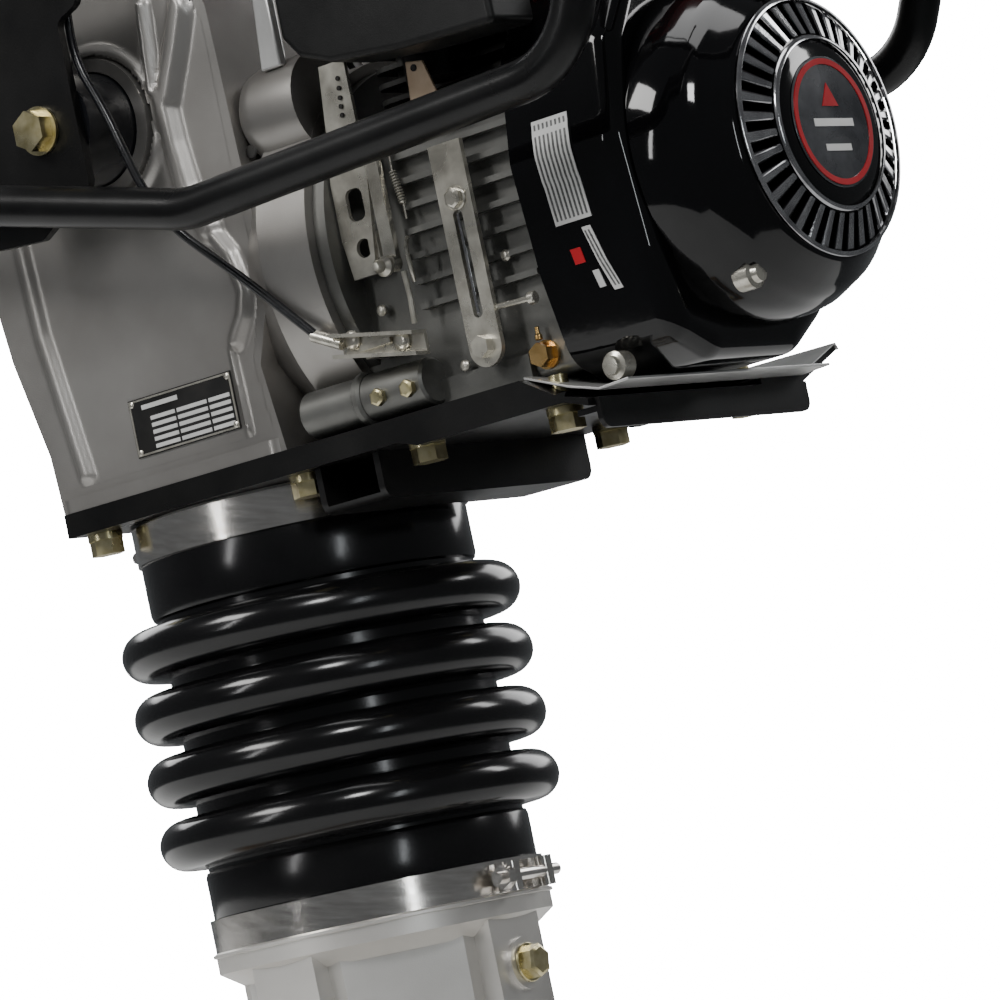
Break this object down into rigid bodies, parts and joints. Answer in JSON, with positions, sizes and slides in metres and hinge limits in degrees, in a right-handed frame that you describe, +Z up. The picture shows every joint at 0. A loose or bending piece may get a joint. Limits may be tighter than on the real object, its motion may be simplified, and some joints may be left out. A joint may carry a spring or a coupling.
{
  "type": "rammer",
  "caption": "Upright petrol tamping rammer: leaning ram leg with rubber bellows, crank gearbox, air-cooled engine with rope starter, sprung tubular guide handle and flat shoe.",
  "frame": {"origin": "centre of the shoe's flat steel sole", "axes": "+Z up, +Y the way the machine walks, +X its right-hand side"},
  "size_m": [0.332, 0.6617, 1.06],
  "materials": {
    "bellows_rubber": "moulded gloss black rubber",
    "cast_aluminium": "fine shot-blasted aluminium casting",
    "engine_casting": "darker grey die casting",
    "black_plate": "satin black powder coat on steel plate",
    "black_tube": "semi-gloss black powder coat on tube",
    "gloss_black": "gloss black enamel on pressed steel",
    "black_plastic": "fine-textured black plastic",
    "red_plastic": "moulded red plastic",
    "yellow_zinc": "yellow zinc plated steel",
    "zinc": "bright zinc plated steel",
    "stainless": "bright rolled stainless band",
    "machined_steel": "ground and machined steel",
    "spring_steel": "shot-peened black spring steel",
    "brass": "turned brass",
    "rubber": "matt black rubber",
    "laminated_wood": "resin-bonded laminated wood",
    "wear_steel": "rolled wear steel",
    "muffler_steel": "aluminised steel sheet",
    "plate_print": "anodised name plate with a blank printed grid"
  },
  "bodies": {
    "foot": {"leg_casting": "cast_aluminium", "spring_cylinder": "machined_steel", "bellows": "bellows_rubber", "bellows_clamp_lower": "stainless", "shoe_casting": "wear_steel", "shoe_laminate": "laminated_wood", "shoe_sole": "wear_steel", "shoe_bolts": "yellow_zinc", "ram_springs": "spring_steel"},
    "machine": {"deck_plate": "black_plate", "frame_bolts": "yellow_zinc", "rear_tray": "black_plate", "cross_channel": "black_plate", "cylinder_flange": "cast_aluminium", "guide_cylinder": "machined_steel", "gearbox_housing": "cast_aluminium", "name_plate": "plate_print", "bellows_clamp_upper": "stainless", "bearings": "machined_steel", "engine_crankcase": "engine_casting", "engine_cylinder": "engine_casting", "cylinder_head": "engine_casting", "spark_plug": "zinc", "muffler": "muffler_steel", "carburetor": "black_plastic", "air_cleaner_cover": "black_plastic", "fan_shroud": "gloss_black", "recoil_housing": "gloss_black", "oil_drain_plug": "brass", "control_bracket": "zinc", "cable_clamp": "zinc", "shock_mounts": "rubber", "throttle_cable": "rubber", "fuel_hose": "rubber"},
    "piston": {"crosshead": "machined_steel", "wrist_pin": "machined_steel", "piston_rod": "machined_steel"},
    "rod": {"connecting_rod": "machined_steel", "crank_pin": "machined_steel"},
    "crank": {"crank_gear": "machined_steel"},
    "drum": {"clutch_drum": "machined_steel"},
    "engine_rotor": {"engine_shaft": "machined_steel", "flywheel": "engine_casting", "clutch_hub": "machined_steel"},
    "rope_pulley": {"recoil_pulley": "black_plastic"},
    "pull_grip": {"starter_grip": "black_plastic"},
    "throttle_arm": {"throttle_arm": "zinc"},
    "governor": {"governor_arm": "zinc"},
    "handle": {"handle_top_loop": "black_tube", "guard_rails": "black_tube", "hand_grips": "rubber", "lifting_bar": "black_plate", "fuel_tank": "red_plastic", "fuel_tap": "zinc", "handlebar_brackets": "black_plastic", "mount_brackets": "black_plate"},
    "cap": {"fuel_cap": "black_plastic"},
    "tap": {"fuel_tap_lever": "red_plastic"},
    "throttle": {"throttle_lever": "black_plate"},
    "button": {"stop_button": "red_plastic"}
  },
  "joints": [
    {"name": "ram_travel", "type": "slide", "parent": "foot", "child": "machine", "axis": [0, 0.2588, 0.9659], "range_m": [-0.04, 0.025], "stiffness_N_per_m": 60000, "springref_m": 0.0073, "deforming": ["bellows", "ram_springs"]},
    {"name": "piston_stroke", "type": "slide", "parent": "machine", "child": "piston", "axis": [0, 0.2588, 0.9659], "range_m": [-0.064, 0], "stiffness_N_per_m": 8000, "springref_m": 0.01, "deforming": ["ram_springs"]},
    {"name": "rod_swing", "type": "hinge", "parent": "piston", "child": "rod", "pos_m": [0, 0.09189, 0.60419], "axis": [0, 0.9659, -0.2588], "range_deg": [-10.8, 10.8], "stiffness_Nm_per_rad": 8},
    {"name": "crank_spin", "type": "hinge", "parent": "machine", "child": "crank", "pos_m": [0, 0.08124, 0.74991], "axis": [0, 0.9659, -0.2588], "continuous": true},
    {"name": "drum_spin", "type": "hinge", "parent": "machine", "child": "drum", "pos_m": [0, 0.05601, 0.65573], "axis": [0, 0.9659, -0.2588], "continuous": true},
    {"name": "engine_spin", "type": "hinge", "parent": "machine", "child": "engine_rotor", "pos_m": [0, -0.09081, 0.69507], "axis": [0, 0.9659, -0.2588], "continuous": true},
    {"name": "pulley_turn", "type": "hinge", "parent": "machine", "child": "rope_pulley", "pos_m": [0, -0.24633, 0.73674], "axis": [0, 0.9659, -0.2588], "range_deg": [0, 570], "stiffness_Nm_per_rad": 0.05},
    {"name": "starter_pull", "type": "slide", "parent": "machine", "child": "pull_grip", "axis": [0, 0.2588, 0.9659], "range_m": [0, 0.4]},
    {"name": "throttle_arm_turn", "type": "hinge", "parent": "machine", "child": "throttle_arm", "pos_m": [-0.09, -0.05141, 0.73006], "axis": [1, 0, 0], "range_deg": [0, 18]},
    {"name": "governor_turn", "type": "hinge", "parent": "machine", "child": "governor", "pos_m": [-0.09, -0.12802, 0.63154], "axis": [1, 0, 0], "range_deg": [-8, 8], "stiffness_Nm_per_rad": 0.5},
    {"name": "handle_flex", "type": "hinge", "parent": "machine", "child": "handle", "pos_m": [0, 0.13212, 0.73886], "axis": [1, 0, 0], "range_deg": [-3, 3], "stiffness_Nm_per_rad": 6000, "deforming": ["throttle_cable", "fuel_hose"]},
    {"name": "cap_turn", "type": "hinge", "parent": "handle", "child": "cap", "pos_m": [0.03, -0.06, 1.012], "axis": [0, 0, 1], "range_deg": [0, 90]},
    {"name": "tap_turn", "type": "hinge", "parent": "handle", "child": "tap", "pos_m": [-0.073, -0.128, 0.902], "axis": [1, 0, 0], "range_deg": [0, 90]},
    {"name": "throttle_turn", "type": "hinge", "parent": "handle", "child": "throttle", "pos_m": [-0.15, -0.207, 1.033], "axis": [0, 0, 1], "range_deg": [0, 60]},
    {"name": "stop_press", "type": "slide", "parent": "handle", "child": "button", "axis": [0, 0, -1], "range_m": [0, 0.0035], "stiffness_N_per_m": 800}
  ],
  "couplings": [
    {"joint": "drum_spin", "follows": "crank_spin", "ratio": -5.5},
    {"joint": "starter_pull", "follows": "pulley_turn", "m_per_rad": 0.04},
    {"joint": "throttle_arm_turn", "follows": "throttle_turn", "ratio": 0.3}
  ]
}
